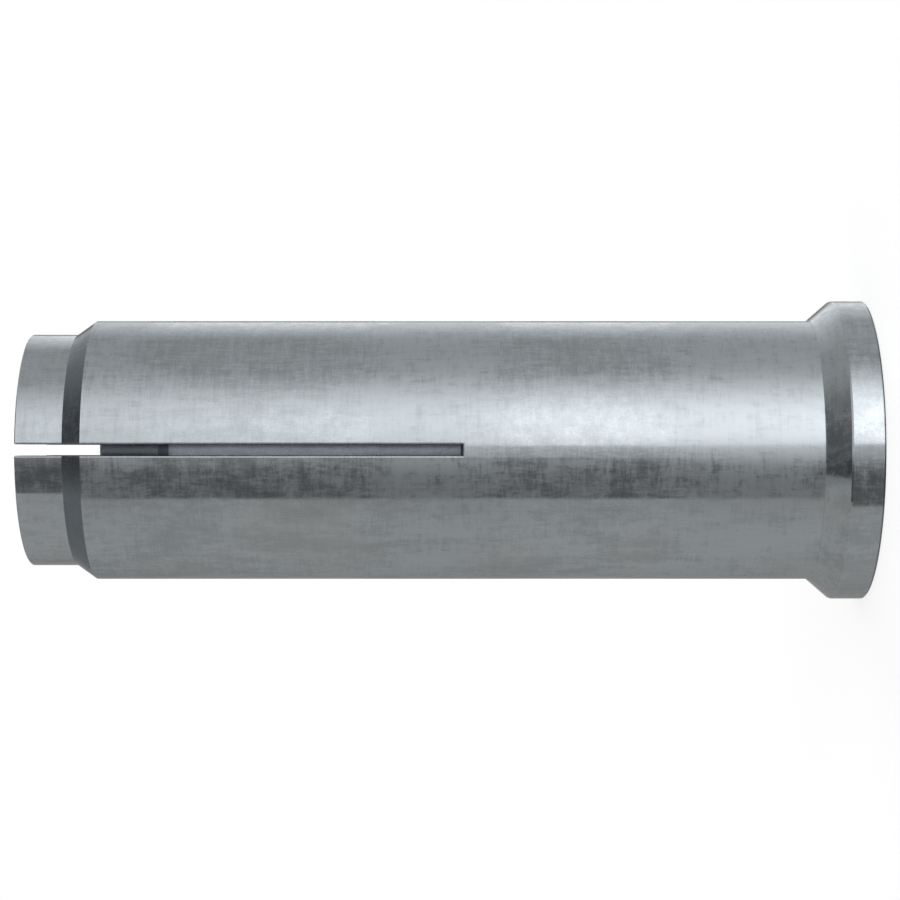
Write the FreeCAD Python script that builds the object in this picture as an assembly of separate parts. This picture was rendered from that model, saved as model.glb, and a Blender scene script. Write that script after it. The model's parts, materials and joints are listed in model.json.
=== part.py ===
import FreeCAD, Part
import math
import os

# Drop-in anchor for an M12 bolt, in millimetres: a turned steel sleeve and the plug inside it.
# Heights run from the mouth face, z = 0, where the bolt goes in, to the slotted tip.

# Sleeve, outside
anchor_length = 50.0
body_dia = 15.6
collar_dia = 17.98
collar_height = 1.9
collar_flare_height = 1.37
tip_dia = 13.95
tip_height = 2.75
tip_chamfer_height = 1.16
sleeve_edge_break = 0.06

# Sleeve, expansion slots sawn in from the tip
slot_count = 4
slot_width = 0.65
slot_length = 25.92
slot_edge_round = 0.1

# Sleeve, bore: threaded half, plug half and the taper that the plug is driven into
thread_major_dia = 12.0
thread_depth = 22.0
thread_runout_angle = 30.0
mouth_chamfer = 0.6
plug_clearance = 0.05
tip_bore_dia = 7.0
tip_taper_height = 6.5
tip_bore_chamfer = 0.3

# Expander plug
plug_dia = 10.1
plug_length = 22.0
plug_nose_dia = 6.4
plug_nose_length = 4.4
plug_nose_setback = 4.4
plug_shoulder_break = 0.12
plug_nose_chamfer = 0.15
plug_tail_chamfer = 0.6

# Shared by the sleeve's bore and what runs in it
plug_bore_radius = plug_dia / 2 + plug_clearance

AXIS_START = FreeCAD.Vector(0, 0, 0)
AXIS = FreeCAD.Vector(0, 0, 1)
TOUCHING = 1e-5


def turned(section):
    """Solid of revolution about the Z axis from (radius, height) corners."""
    corners = [FreeCAD.Vector(radius, 0, height) for radius, height in section]
    outline = Part.makePolygon(corners + corners[:1])
    return Part.Face(outline).revolve(AXIS_START, AXIS, 360)


def with_broken_corners(section, breaks):
    """The section with some corners, picked by their place in the list, cut off this far along both sides."""
    corners = []
    for place, (radius, height) in enumerate(section):
        if place not in breaks:
            corners.append((radius, height))
            continue
        for neighbour in (section[place - 1], section[(place + 1) % len(section)]):
            side = math.hypot(neighbour[0] - radius, neighbour[1] - height)
            share = breaks[place] / side
            corners.append((radius + (neighbour[0] - radius) * share, height + (neighbour[1] - height) * share))
    return corners


def sleeve_blank():
    """The sleeve as it leaves the lathe, before the slots are sawn."""
    thread_radius = thread_major_dia / 2
    runout_height = (thread_radius - plug_bore_radius) / math.tan(math.radians(thread_runout_angle))
    body_start = collar_height + collar_flare_height
    tip_start = anchor_length - tip_height
    outside = [
        (collar_dia / 2, 0),
        (collar_dia / 2, collar_height),
        (body_dia / 2, body_start),
        (body_dia / 2, tip_start - tip_chamfer_height),
        (tip_dia / 2, tip_start),
        (tip_dia / 2, anchor_length),
    ]
    inside = [
        (tip_bore_dia / 2 + tip_bore_chamfer, anchor_length),
        (tip_bore_dia / 2, anchor_length - tip_bore_chamfer),
        (plug_bore_radius, anchor_length - tip_taper_height),
        (plug_bore_radius, thread_depth + runout_height),
        (thread_radius, thread_depth),
        (thread_radius, mouth_chamfer),
        (thread_radius + mouth_chamfer, 0),
    ]
    mouth_edge, collar_edge, tip_edge = 0, 1, 5
    breaks = dict.fromkeys((mouth_edge, collar_edge, tip_edge), sleeve_edge_break)
    blank = turned(with_broken_corners(outside + inside, breaks))
    # The seam of the turned faces is brought midway between two slots.
    blank.rotate(AXIS_START, AXIS, 180 / slot_count)
    return blank


def slot_cutters():
    """One saw cut per slot, from the axis outwards, with square roots."""
    cutters = []
    for index in range(slot_count):
        cutter = Part.makeBox(collar_dia, slot_width, slot_length * 2)
        cutter.translate(FreeCAD.Vector(0, -slot_width / 2, anchor_length - slot_length))
        cutter.rotate(AXIS_START, AXIS, index * 360 / slot_count)
        cutters.append(cutter)
    return cutters


def slot_mouth_edges(slotted, blank, cutters):
    """Edges that the saw cuts leave on the outside of the sleeve."""
    outside = blank.Shells[0]
    saw_cuts = Part.makeCompound(cutters)
    found = []
    for edge in slotted.Edges:
        middle = edge.valueAt((edge.FirstParameter + edge.LastParameter) / 2)
        point = Part.Vertex(middle)
        in_bore = math.hypot(middle.x, middle.y) < plug_bore_radius + TOUCHING
        on_cut = saw_cuts.distToShape(point)[0] < TOUCHING
        on_outside = outside.distToShape(point)[0] < TOUCHING
        if on_cut and on_outside and not in_bore:
            found.append(edge)
    return found


def sleeve():
    """Slotted sleeve: collar, body, reduced tip, threaded mouth and tapered plug bore."""
    blank = sleeve_blank()
    cutters = slot_cutters()
    slotted = blank.cut(cutters).Solids[0]
    return slotted.makeFillet(slot_edge_round, slot_mouth_edges(slotted, blank, cutters)).Solids[0]


def expander_plug():
    """Round plug with a conical nose, waiting behind the tapered end of the bore."""
    nose_height = anchor_length - plug_nose_setback
    tail_height = nose_height - plug_length
    shoulder_height = nose_height - plug_nose_length
    section = [
        (0, tail_height),
        (plug_dia / 2, tail_height),
        (plug_dia / 2, shoulder_height),
        (plug_nose_dia / 2, nose_height),
        (0, nose_height),
    ]
    tail_edge, shoulder, nose_edge = 1, 2, 3
    breaks = {tail_edge: plug_tail_chamfer, shoulder: plug_shoulder_break, nose_edge: plug_nose_chamfer}
    return turned(with_broken_corners(section, breaks))


os.makedirs("parts", exist_ok=True)
for name, shape in (("sleeve", sleeve()), ("expander_plug", expander_plug())):
    shape.exportStep("parts/" + name + ".step")
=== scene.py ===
"""Looks of a drop-in anchor: zinc finish, bolt thread, and the studio it is shown in."""

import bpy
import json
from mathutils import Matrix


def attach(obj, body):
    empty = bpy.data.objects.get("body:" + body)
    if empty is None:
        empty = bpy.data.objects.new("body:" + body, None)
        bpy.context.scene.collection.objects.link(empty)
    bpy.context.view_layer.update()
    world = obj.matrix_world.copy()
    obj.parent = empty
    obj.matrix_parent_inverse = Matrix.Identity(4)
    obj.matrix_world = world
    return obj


bl_info = {
    "name": "Drop-in anchor",
    "version": (1, 0, 0),
    "blender": (4, 5, 0),
    "location": "View3D > Sidebar > Anchor",
    "description": "Finishes the sleeve and the plug of a drop-in anchor and sets up its studio",
    "category": "Object",
}

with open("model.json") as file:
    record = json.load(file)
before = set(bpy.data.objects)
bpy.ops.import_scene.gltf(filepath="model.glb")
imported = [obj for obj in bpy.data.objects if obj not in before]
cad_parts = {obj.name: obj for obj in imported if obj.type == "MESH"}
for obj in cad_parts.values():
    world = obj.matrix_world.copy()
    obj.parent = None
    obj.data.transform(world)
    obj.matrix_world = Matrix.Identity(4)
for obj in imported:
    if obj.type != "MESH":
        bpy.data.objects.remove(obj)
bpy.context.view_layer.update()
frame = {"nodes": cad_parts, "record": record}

import json
import math

import bmesh
import bpy
from mathutils import Matrix

MOUNTS = {mount["name"]: mount for mount in frame["record"]["mounts"]}
THREAD_WALL = MOUNTS["bolt_thread"]["dims"]
MM = 0.001
WHITE = (1, 1, 1, 1)

# Heights above the mouth face at which the sleeve's form changes.
COLLAR_TOP = 1.9 * MM
FLARE_TOP = 3.27 * MM
TIP_CHAMFER = (46.09 * MM, 47.25 * MM)

# Bands painted darker as painted shade: the dark reflection on the tip chamfer, a dark line along the
# collar's rim, and the shade on the plug's nose and shoulder ring in the slot. Each has its lowest and
# highest height, least radius and strength.
SLEEVE_PAINTED_SHADE = [(*TIP_CHAMFER, 6.9 * MM, 0.88), (-0.1 * MM, 0.1 * MM, 8.9 * MM, 1.0)]
PLUG_PAINTED_SHADE = [(41.3 * MM, 41.95 * MM, 3 * MM, 1.0), (41.95 * MM, 45.7 * MM, 3 * MM, 0.45)]
PAINTED_SHADE_FADE = 0.03 * MM
EDGE_FADE = 0.1 * MM

# Heights over which rubbed plating ends above the flare, lies in the middle and starts near the tip. The
# plating is painted lighter where rubbed, and below the first heights this lighter tone is painted light for
# the brighter mouth end.
RUBBED_AND_LIT_ABOVE_FLARE = (9 * MM, 15 * MM)
RUBBED_MIDDLE = (22 * MM, 29 * MM)
RUBBED_MIDDLE_FADE = 1.5 * MM
RUBBED_AT_TIP = (41 * MM, 44 * MM)

# Handling has stained the side of the anchor below these X.
HANDLED_SIDE = (-3.2 * MM, -2.2 * MM)
CLOUD_SHIFT = (0, 0, -15.3 * MM)
CLOUD_TURN = (0, 0, 0.284)
SCRATCH_TURN = (0, 0.45, 0)

# The part of a mix of noises that runs from dark to light, or from sound to worn.
MARKED = (0.4, 0.6)

# Shades of the steel, as factors on the red, green and blue of its colour: its darkest and lightest random
# tone, and the colour of the painted shade bands.
DARK_SHADE = (0.86, 0.86, 0.86)
LIGHT_SHADE = (1.09, 1.09, 1.09)
PAINTED_SHADE_FACTORS = (0.375, 0.4, 0.425)
HAZE_ROUGHNESS = 0.5


class Value:
    """One value in a shader, with the arithmetic that adds Math nodes."""

    def __init__(self, graph, socket):
        self.graph = graph
        self.socket = socket

    def _math(self, operation, *terms):
        sockets = dict(enumerate(terms))
        return self.graph.add("ShaderNodeMath", {"operation": operation}, sockets)

    def __add__(self, other):
        return self._math("ADD", self, other)

    def __sub__(self, other):
        return self._math("SUBTRACT", self, other)

    def __rsub__(self, other):
        return self._math("SUBTRACT", other, self)

    def __mul__(self, other):
        return self._math("MULTIPLY", self, other)

    __radd__ = __add__
    __rmul__ = __mul__


class Graph:
    """A node tree that is filled one node at a time."""

    def __init__(self, tree):
        tree.nodes.clear()
        self.tree = tree

    def add(self, kind, settings=None, sockets=None, output=0):
        """Add a node, set it up, fill or link its sockets, and return one of its outputs."""
        node = self.tree.nodes.new(kind)
        for name, setting in (settings or {}).items():
            setattr(node, name, setting)
        for key, value in (sockets or {}).items():
            if isinstance(value, Value):
                self.tree.links.new(value.socket, node.inputs[key])
            else:
                node.inputs[key].default_value = value
        return Value(self, node.outputs[output]) if node.outputs else None

    def part(self, vector, axis):
        """The vector's X, Y or Z."""
        return self.add("ShaderNodeSeparateXYZ", sockets={0: vector}, output=axis)

    def scaled(self, vector, factors):
        """The vector with each part multiplied by its own factor."""
        return self.add("ShaderNodeVectorMath", {"operation": "MULTIPLY"}, {0: vector, 1: factors})

    def moved(self, vector, turn, shift=(0, 0, 0)):
        """The vector turned about X, Y and Z and then shifted."""
        return self.add("ShaderNodeMapping", sockets={"Vector": vector, "Location": shift, "Rotation": turn})

    def noise(self, vector, waves_per_mm, detail, roughness=0.5):
        """Soft noise from 0 to 1 with so many waves per mm along X, Y and Z."""
        spread = self.scaled(vector, tuple(waves / MM for waves in waves_per_mm))
        return self.add(
            "ShaderNodeTexNoise",
            sockets={"Vector": spread, "Scale": 1.0, "Detail": detail, "Roughness": roughness},
        )

    def ramp(self, value, low, high, bottom=0.0, top=1.0):
        """A smooth rise from bottom to top while the value goes from low to high."""
        return self.add(
            "ShaderNodeMapRange",
            {"interpolation_type": "SMOOTHSTEP"},
            {"Value": value, "From Min": low, "From Max": high, "To Min": bottom, "To Max": top},
        )

    def fall(self, value, low, high):
        """A smooth fall from 1 to 0 while the value goes from low to high."""
        return self.ramp(value, low, high, 1.0, 0.0)

    def between(self, value, low, high, fade):
        """1 where the value lies from low to high, fading to 0 around both."""
        return self.ramp(value, low - fade, low + fade) * self.fall(value, high - fade, high + fade)

    def mixed(self, factor, first, second):
        """The first colour where the factor is 0 and the second where it is 1."""
        sockets = {0: factor, 6: first, 7: second}
        return self.add("ShaderNodeMix", {"data_type": "RGBA"}, sockets, output=2)


def shaded(colour, factors):
    """The opaque colour whose red, green and blue are the given ones times these factors."""
    return tuple(factor * part for factor, part in zip(factors, colour)) + (1,)


def turned_steel(name, colour, stain, polish, haze, shade_bands):
    """Satin steel with turning rings, hairlines, scratches, stained clouds, hazy worn patches, a lighter
    tone where rubbed that is painted light next to the flare, and bands of painted shade.
    """
    material = bpy.data.materials.new(name)
    material.use_nodes = True
    graph = Graph(material.node_tree)
    place = graph.add("ShaderNodeTexCoord", output="Object")
    side = graph.part(place, "X")
    height = graph.part(place, "Z")
    flat = graph.scaled(place, (1, 1, 0))
    radius = graph.add("ShaderNodeVectorMath", {"operation": "LENGTH"}, {0: flat}, "Value")
    tilted = graph.moved(place, SCRATCH_TURN)

    rings = graph.noise(place, (0.5, 0.5, 3.0), 2.0, 0.9)
    hairlines = graph.noise(place, (3.2, 3.2, 0.6), 2.0, 0.9)
    smears = graph.noise(place, (0.6, 0.6, 0.2), 5.0, 0.75)
    blotches = graph.noise(place, (1.0, 1.0, 1.0), 5.0, 0.85)
    patches = graph.noise(place, (0.16, 0.16, 0.11), 4.0, 0.6)
    clouds = graph.noise(graph.moved(place, CLOUD_TURN, CLOUD_SHIFT), (0.16, 0.16, 0.11), 4.0, 0.6)
    strokes = graph.ramp(graph.noise(tilted, (4.0, 4.0, 0.1), 1.0), 0.64, 0.74)
    scratches = graph.ramp(graph.noise(tilted, (1.8, 0.3, 0.1), 1.0), 0.52, 0.7)

    on_collar = graph.fall(height, COLLAR_TOP - EDGE_FADE, COLLAR_TOP)
    on_flare = graph.between(height, COLLAR_TOP, FLARE_TOP, EDGE_FADE / 2)
    below_body = graph.fall(height, FLARE_TOP - EDGE_FADE, FLARE_TOP)
    above_body = graph.ramp(height, TIP_CHAMFER[0] - EDGE_FADE, TIP_CHAMFER[0])
    handled = graph.fall(side, *HANDLED_SIDE)
    rubbed_and_lit = (
        graph.fall(height, *RUBBED_AND_LIT_ABOVE_FLARE)
        + graph.between(height, *RUBBED_MIDDLE, RUBBED_MIDDLE_FADE)
        + graph.ramp(height, *RUBBED_AT_TIP) * 0.6
    )
    polished = below_body * 0.18 - on_collar * 0.07 + above_body * 0.1
    fabric = blotches * 0.4 + rings * 0.18 + hairlines * 0.18 + patches * 0.24
    worn = graph.ramp(fabric + rubbed_and_lit * 0.1 - polished, *MARKED)

    tone = rings * 0.3 + hairlines * 0.3 + smears * 0.25 + patches * 0.15
    # Lighter where rubbed, off the collar: next to the flare this is painted light for the brighter mouth
    # end. The handled side also varies more in tone.
    tone = tone + rubbed_and_lit * (1 - on_collar) * 0.045 + (smears - 0.5) * handled * 0.35
    plain = graph.mixed(
        graph.ramp(tone, *MARKED), shaded(colour, DARK_SHADE), shaded(colour, LIGHT_SHADE)
    )
    stained = graph.mixed(handled * graph.ramp(clouds, 0.45, 0.65) * 0.32, plain, stain + (1,))
    # Painted shade: the listed bands get a dark colour and a little less metal.
    painted_shade = 0.0
    for low, high, least_radius, strength in shade_bands:
        reached = graph.ramp(radius, least_radius - EDGE_FADE, least_radius)
        painted_shade = graph.between(height, low, high, PAINTED_SHADE_FADE) * reached * strength + painted_shade
    relief = graph.add(
        "ShaderNodeBump",
        sockets={"Strength": 0.15, "Distance": 0.02 * MM, "Height": rings * 0.6 + hairlines * 0.4},
    )
    steel = {
        "Base Color": graph.mixed(painted_shade, stained, shaded(colour, PAINTED_SHADE_FACTORS)),
        "Metallic": 1 - painted_shade * 0.2,
        "Specular Tint": (0.7, 0.7, 0.7, 1),
        "Normal": relief,
    }

    grain = strokes * 0.08 + worn * 0.02 + polish
    clear = graph.add("ShaderNodeBsdfPrincipled", sockets={**steel, "Roughness": grain})
    hazy = graph.add("ShaderNodeBsdfPrincipled", sockets={**steel, "Roughness": HAZE_ROUGHNESS})
    dimmed = worn * (rubbed_and_lit * 0.12 + 1) * haze + scratches * on_flare * 0.24
    surface = graph.add("ShaderNodeMixShader", sockets={0: dimmed, 1: clear, 2: hazy})
    graph.add("ShaderNodeOutputMaterial", sockets={"Surface": surface})
    return material


class AnchorFinish(bpy.types.PropertyGroup):
    """Colours and polish of the two pieces."""

    zinc_colour: bpy.props.FloatVectorProperty(
        name="Zinc",
        description="Colour of the zinc plating on the sleeve",
        subtype="COLOR",
        size=3,
        min=0.0,
        max=1.0,
        default=(0.485, 0.524, 0.552),
    )
    stain_colour: bpy.props.FloatVectorProperty(
        name="Stain",
        description="Colour of the faint brown clouds in the plating",
        subtype="COLOR",
        size=3,
        min=0.0,
        max=1.0,
        default=(0.50, 0.485, 0.465),
    )
    plug_colour: bpy.props.FloatVectorProperty(
        name="Plug",
        description="Colour of the bare steel of the expander plug",
        subtype="COLOR",
        size=3,
        min=0.0,
        max=1.0,
        default=(0.345, 0.375, 0.415),
    )
    polish: bpy.props.FloatProperty(
        name="Polish",
        description="Roughness of the plating where it is least worn",
        subtype="FACTOR",
        min=0.0,
        max=1.0,
        default=0.09,
    )
    haze: bpy.props.FloatProperty(
        name="Haze",
        description="Share of its light that the plating scatters widely where it is worn most",
        subtype="FACTOR",
        min=0.0,
        max=1.0,
        default=0.63,
    )
    plug_polish: bpy.props.FloatProperty(
        name="Plug polish",
        description="Roughness of the plug where it is least worn",
        subtype="FACTOR",
        min=0.0,
        max=1.0,
        default=0.2,
    )


class AnchorThread(bpy.types.PropertyGroup):
    """Sizes of the thread in the mouth of the sleeve."""

    major_diameter: bpy.props.FloatProperty(
        name="Major diameter",
        description="Diameter of the thread's root, which is the bore of the sleeve there",
        subtype="DISTANCE",
        unit="LENGTH",
        default=2 * THREAD_WALL["r_mm"] * MM,
    )
    crest_diameter: bpy.props.FloatProperty(
        name="Crest diameter",
        description="Diameter over the thread's crests, as the drill leaves it",
        subtype="DISTANCE",
        unit="LENGTH",
        default=10.2 * MM,
    )
    pitch: bpy.props.FloatProperty(
        name="Pitch",
        description="Rise of the thread in one turn",
        subtype="DISTANCE",
        unit="LENGTH",
        default=1.75 * MM,
    )
    depth: bpy.props.FloatProperty(
        name="Depth",
        description="Height above the mouth at which the thread has run out",
        subtype="DISTANCE",
        unit="LENGTH",
        default=23.4 * MM,
    )
    mouth_radius: bpy.props.FloatProperty(
        name="Mouth radius",
        description="Radius of the countersink at the mouth, which cuts the first crests at 45 degrees",
        subtype="DISTANCE",
        unit="LENGTH",
        default=6.6 * MM,
    )


class AnchorStudio(bpy.types.PropertyGroup):
    """Camera, floor and studio light."""

    camera_distance: bpy.props.FloatProperty(
        name="Camera distance",
        description="Distance of the camera from the anchor's axis",
        subtype="DISTANCE",
        unit="LENGTH",
        default=144.6 * MM,
    )
    camera_height: bpy.props.FloatProperty(
        name="Camera height",
        description="Height of the camera above the mouth face",
        subtype="DISTANCE",
        unit="LENGTH",
        default=24.83 * MM,
    )
    lens: bpy.props.FloatProperty(
        name="Lens",
        description="Focal length of the camera, in millimetres",
        default=95.4,
    )
    floor_width: bpy.props.FloatProperty(
        name="Floor width",
        description="Width of the square floor",
        subtype="DISTANCE",
        unit="LENGTH",
        default=4.0,
    )
    key_level: bpy.props.FloatProperty(
        name="Softbox",
        description="Brightness that the large softbox above the camera adds",
        default=2.1,
    )
    wall_level: bpy.props.FloatProperty(
        name="Side wall",
        description="Brightness of the plain grey wall below the camera",
        default=0.45,
    )
    gap_level: bpy.props.FloatProperty(
        name="Gap",
        description="Brightness of the dark gap between the softbox and the side wall",
        default=0.125,
    )
    room_level: bpy.props.FloatProperty(
        name="Room",
        description="Brightness of the room between the softbox and the backdrop",
        default=0.445,
    )
    backdrop_level: bpy.props.FloatProperty(
        name="Backdrop",
        description="Brightness of the backdrop behind the anchor",
        default=1.75,
    )


class ANCHOR_OT_finish(bpy.types.Operator):
    """Give the sleeve and the plug their steel finishes"""

    bl_idname = "anchor.finish"
    bl_label = "Finish sleeve and plug"

    def execute(self, context):
        finish = context.scene.anchor_finish
        zinc, bare, stain = (
            tuple(colour) for colour in (finish.zinc_colour, finish.plug_colour, finish.stain_colour)
        )
        sleeve = turned_steel("zinc_sleeve", zinc, stain, finish.polish, finish.haze, SLEEVE_PAINTED_SHADE)
        plug = turned_steel("dark_plug", bare, stain, finish.plug_polish, finish.haze / 2, PLUG_PAINTED_SHADE)
        for node, material in (("sleeve", sleeve), ("expander_plug", plug)):
            mesh = frame["nodes"][node].data
            mesh.materials.clear()
            mesh.materials.append(material)
        return {"FINISHED"}


class ANCHOR_OT_thread(bpy.types.Operator):
    """Add the bolt thread inside the mouth of the sleeve"""

    bl_idname = "anchor.thread"
    bl_label = "Cut bolt thread"

    steps_per_turn = 72
    flank_angle = math.radians(30)
    sunk_in_wall = 0.04 * MM

    def execute(self, context):
        thread = context.scene.anchor_thread
        foot_radius = thread.major_diameter / 2 + self.sunk_in_wall
        crest_radius = thread.crest_diameter / 2
        crest_depth = (thread.major_diameter - thread.crest_diameter) / 2
        valley = thread.pitch / 8
        foot_half = (thread.pitch - valley) / 2
        crest_half = foot_half - crest_depth * math.tan(self.flank_angle)
        section = [
            (foot_radius, 0),
            (crest_radius, foot_half - crest_half),
            (crest_radius, foot_half + crest_half),
            (foot_radius, 2 * foot_half),
        ]
        turns = (thread.depth - foot_half) / thread.pitch
        steps = round(turns * self.steps_per_turn)

        ridge = bmesh.new()
        face = ridge.faces.new([ridge.verts.new((radius, 0, height)) for radius, height in section])
        bmesh.ops.spin(
            ridge,
            geom=[face, *face.edges, *face.verts],
            cent=(0, 0, 0),
            axis=(0, 0, 1),
            dvec=(0, 0, thread.pitch * turns / steps),
            angle=math.tau * turns,
            steps=steps,
            use_merge=False,
        )
        for vertex in ridge.verts:
            radius = math.hypot(vertex.co.x, vertex.co.y)
            countersink_radius = thread.mouth_radius - vertex.co.z
            vertex.co.xy *= min(max(radius, countersink_radius), foot_radius) / radius
        bmesh.ops.recalc_face_normals(ridge, faces=ridge.faces)

        mesh = bpy.data.meshes.new("bolt_thread")
        ridge.to_mesh(mesh)
        ridge.free()
        mesh.materials.append(bpy.data.materials["zinc_sleeve"])
        piece = bpy.data.objects.new("bolt_thread", mesh)
        context.scene.collection.objects.link(piece)
        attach(piece, "sleeve_body")
        return {"FINISHED"}


class ANCHOR_OT_studio(bpy.types.Operator):
    """Set up the floor, the studio light and the camera"""

    bl_idname = "anchor.studio"
    bl_label = "Set up studio"

    nearest_shown = 10 * MM
    paper_colour = (0.8, 0.8, 0.8, 1)
    paper_glow = 0.68
    wall_colour = (1, 1, 0.985, 1)
    ceiling_level = 0.9
    ground_level = 0.55

    # Bearings about the anchor's axis, in degrees from the camera, over which a light comes or goes.
    wall_end = (-44.2, -42.4)
    room_start = (-20, 6)
    softbox_edge = (3, 6)
    softbox_middle = (4, 14)
    softbox_end = (22, 78)
    backdrop_start = (110, 161)
    backdrop_end = (156, 166)
    far_side = (161, 171)

    # Heights over which a light comes or goes, from -1 straight down to 1 straight up.
    ground = (-0.97, -0.85)
    ground_edge = (-0.85, -0.5)
    softbox_top = (-0.5, 0.43)
    gap_heights = (-0.3, 1.0)
    backdrop_top = (0.0, 0.5)
    front_top = (0.79, 0.99)
    wall_top = (0.9, 0.995)
    ceiling = (0.985, 0.995)

    def execute(self, context):
        studio = context.scene.anchor_studio
        self.add_camera(context, studio)
        self.add_floor(context, studio)
        self.light_studio(context, studio)
        context.scene.view_settings.view_transform = "Standard"
        return {"FINISHED"}

    def add_camera(self, context, studio):
        """A level camera, rolled a quarter turn so that the anchor lies across the picture."""
        data = bpy.data.cameras.new("camera")
        data.lens = studio.lens
        data.clip_start = self.nearest_shown
        camera = bpy.data.objects.new("camera", data)
        right, up, back = (0, 0, -1), (1, 0, 0), (0, -1, 0)
        turn = Matrix((right, up, back)).transposed().to_4x4()
        shift = Matrix.Translation((0, -studio.camera_distance, studio.camera_height))
        camera.matrix_world = shift @ turn
        context.scene.collection.objects.link(camera)
        context.scene.camera = camera

    def add_floor(self, context, studio):
        """A pale floor that turns white for the camera where no shadow falls on it."""
        material = bpy.data.materials.new("floor")
        material.use_nodes = True
        graph = Graph(material.node_tree)
        paper = graph.add("ShaderNodeBsdfDiffuse", sockets={"Color": self.paper_colour})
        seen = graph.add("ShaderNodeLightPath", output="Is Camera Ray")
        glow = graph.add("ShaderNodeEmission", sockets={"Color": WHITE, "Strength": seen * self.paper_glow})
        both = graph.add("ShaderNodeAddShader", sockets={0: paper, 1: glow})
        graph.add("ShaderNodeOutputMaterial", sockets={"Surface": both})

        sheet = bmesh.new()
        bmesh.ops.create_grid(sheet, x_segments=1, y_segments=1, size=studio.floor_width / 2)
        mesh = bpy.data.meshes.new("floor")
        sheet.to_mesh(mesh)
        sheet.free()
        mesh.materials.append(material)
        floor = bpy.data.objects.new("floor", mesh)
        floor.visible_glossy = False
        context.scene.collection.objects.link(floor)

    def light_studio(self, context, studio):
        """A round studio about the anchor's axis: softbox, dark gap, grey wall and pale backdrop."""
        world = bpy.data.worlds.new("studio")
        world.use_nodes = True
        context.scene.world = world
        graph = Graph(world.node_tree)
        way = graph.add("ShaderNodeTexCoord", output="Generated")
        side, ahead, height = (graph.part(way, axis) for axis in "XYZ")
        turn = graph.add("ShaderNodeMath", {"operation": "ARCTAN2"}, {0: side, 1: ahead * -1.0})
        bearing = turn * math.degrees(1)

        gap = graph.ramp(height, *self.gap_heights, 1.25, 0.62) * studio.gap_level
        lit = graph.fall(bearing, *self.softbox_end)
        softbox = graph.ramp(bearing, *self.softbox_edge) * 0.7
        softbox = (softbox + graph.ramp(bearing, *self.softbox_middle) * 0.3) * lit
        softbox = softbox * graph.fall(height, *self.softbox_top) * studio.key_level
        room = lit * 0.3 + (studio.room_level - studio.gap_level)
        room = graph.ramp(bearing, *self.room_start) * room
        backdrop = (
            graph.ramp(bearing, *self.backdrop_start)
            * graph.fall(bearing, *self.backdrop_end)
            * graph.ramp(height, *self.backdrop_top, 1.0, 0.4)
            * (studio.backdrop_level - studio.room_level)
        )
        front = (softbox + room + backdrop) * graph.ramp(bearing, *self.far_side, 1.0, 0.3)
        wall = graph.fall(bearing, *self.wall_end)
        upper = (
            front * graph.fall(height, *self.front_top)
            + wall * graph.fall(height, *self.wall_top) * (studio.wall_level - studio.gap_level)
            + graph.ramp(height, *self.ceiling) * self.ceiling_level
            + gap
        )
        lower = graph.ramp(height, *self.ground, studio.gap_level, self.ground_level)
        below = graph.fall(height, *self.ground_edge)
        light = upper * (1 - below) + lower * below

        seen = graph.add("ShaderNodeLightPath", output="Is Camera Ray")
        shown = light * (1 - seen) + seen
        colour = graph.mixed(seen, graph.mixed(wall, WHITE, self.wall_colour), WHITE)
        background = graph.add("ShaderNodeBackground", sockets={"Color": colour, "Strength": shown})
        graph.add("ShaderNodeOutputWorld", sockets={"Surface": background})


class ANCHOR_PT_panel(bpy.types.Panel):
    """Sizes, finishes and steps of the anchor"""

    bl_idname = "ANCHOR_PT_panel"
    bl_label = "Drop-in anchor"
    bl_space_type = "VIEW_3D"
    bl_region_type = "UI"
    bl_category = "Anchor"

    def draw(self, context):
        groups = (
            (context.scene.anchor_finish, "anchor.finish"),
            (context.scene.anchor_thread, "anchor.thread"),
            (context.scene.anchor_studio, "anchor.studio"),
        )
        for group, operator in groups:
            box = self.layout.box()
            for name in group.__annotations__:
                box.prop(group, name)
            box.operator(operator)


CLASSES = (
    AnchorFinish,
    AnchorThread,
    AnchorStudio,
    ANCHOR_OT_finish,
    ANCHOR_OT_thread,
    ANCHOR_OT_studio,
    ANCHOR_PT_panel,
)


def register():
    for kind in CLASSES:
        bpy.utils.register_class(kind)
    bpy.types.Scene.anchor_finish = bpy.props.PointerProperty(type=AnchorFinish)
    bpy.types.Scene.anchor_thread = bpy.props.PointerProperty(type=AnchorThread)
    bpy.types.Scene.anchor_studio = bpy.props.PointerProperty(type=AnchorStudio)


def unregister():
    del bpy.types.Scene.anchor_studio
    del bpy.types.Scene.anchor_thread
    del bpy.types.Scene.anchor_finish
    for kind in reversed(CLASSES):
        bpy.utils.unregister_class(kind)


def main():
    register()
    bpy.ops.anchor.finish()
    bpy.ops.anchor.thread()
    bpy.ops.anchor.studio()


if __name__ == "__main__":
    main()
